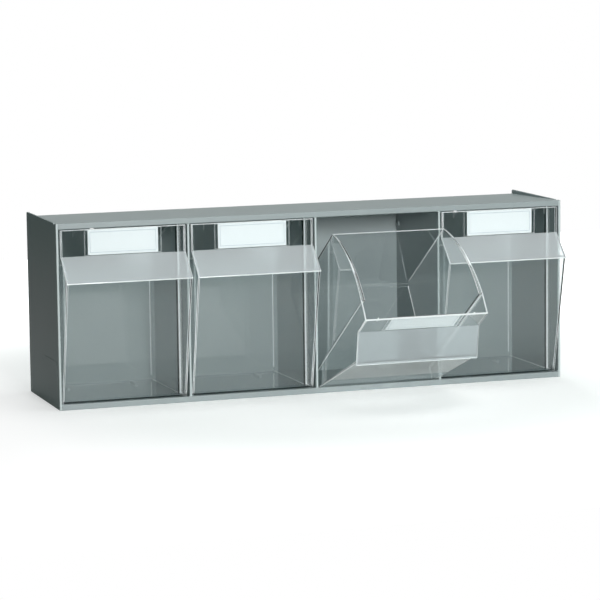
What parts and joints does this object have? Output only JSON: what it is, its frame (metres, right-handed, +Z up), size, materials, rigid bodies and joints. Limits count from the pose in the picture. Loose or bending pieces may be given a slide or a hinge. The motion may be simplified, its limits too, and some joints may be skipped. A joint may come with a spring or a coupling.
{
  "type": "parts drawer cabinet",
  "caption": "Low wall or shelf cabinet for small parts: a grey plastic housing with a row of clear tip-out bins, each with a sloping handle lip and a white label card.",
  "frame": {"origin": "centre of the housing's base, on the plane that it stands on", "axes": "+X to the right as seen from the front, +Y to the back, +Z up"},
  "size_m": [0.6, 0.2934, 0.207],
  "materials": {
    "grey_plastic": "moulded grey polystyrene, fine satin",
    "clear_plastic": "clear moulded polystyrene, glossy, handle lip lightly frosted",
    "holder_plastic": "clear moulded polystyrene, glossy",
    "label_card": "plain white card"
  },
  "bodies": {
    "housing": {"housing_shell": "grey_plastic", "end_panel_left": "grey_plastic", "end_panel_right": "grey_plastic", "partition_1": "grey_plastic", "partition_2": "grey_plastic", "partition_3": "grey_plastic"},
    "tip_bin_1": {"bin_1": "clear_plastic", "label_holder_1": "holder_plastic", "label_card_1": "label_card"},
    "tip_bin_2": {"bin_2": "clear_plastic", "label_holder_2": "holder_plastic", "label_card_2": "label_card"},
    "tip_bin_3": {"bin_3": "clear_plastic", "label_holder_3": "holder_plastic", "label_card_3": "label_card"},
    "tip_bin_4": {"bin_4": "clear_plastic", "label_holder_4": "holder_plastic", "label_card_4": "label_card"}
  },
  "joints": [
    {"name": "bin_1_tilt", "type": "hinge", "parent": "housing", "child": "tip_bin_1", "pos_m": [-0.22365, -0.058, 0.01], "axis": [1, 0, 0], "range_deg": [0, 56.98]},
    {"name": "bin_2_tilt", "type": "hinge", "parent": "housing", "child": "tip_bin_2", "pos_m": [-0.07455, -0.058, 0.01], "axis": [1, 0, 0], "range_deg": [0, 56.98]},
    {"name": "bin_3_tilt", "type": "hinge", "parent": "housing", "child": "tip_bin_3", "pos_m": [0.07455, -0.058, 0.01], "axis": [1, 0, 0], "range_deg": [-56.98, 0]},
    {"name": "bin_4_tilt", "type": "hinge", "parent": "housing", "child": "tip_bin_4", "pos_m": [0.22365, -0.058, 0.01], "axis": [1, 0, 0], "range_deg": [0, 56.98]}
  ]
}
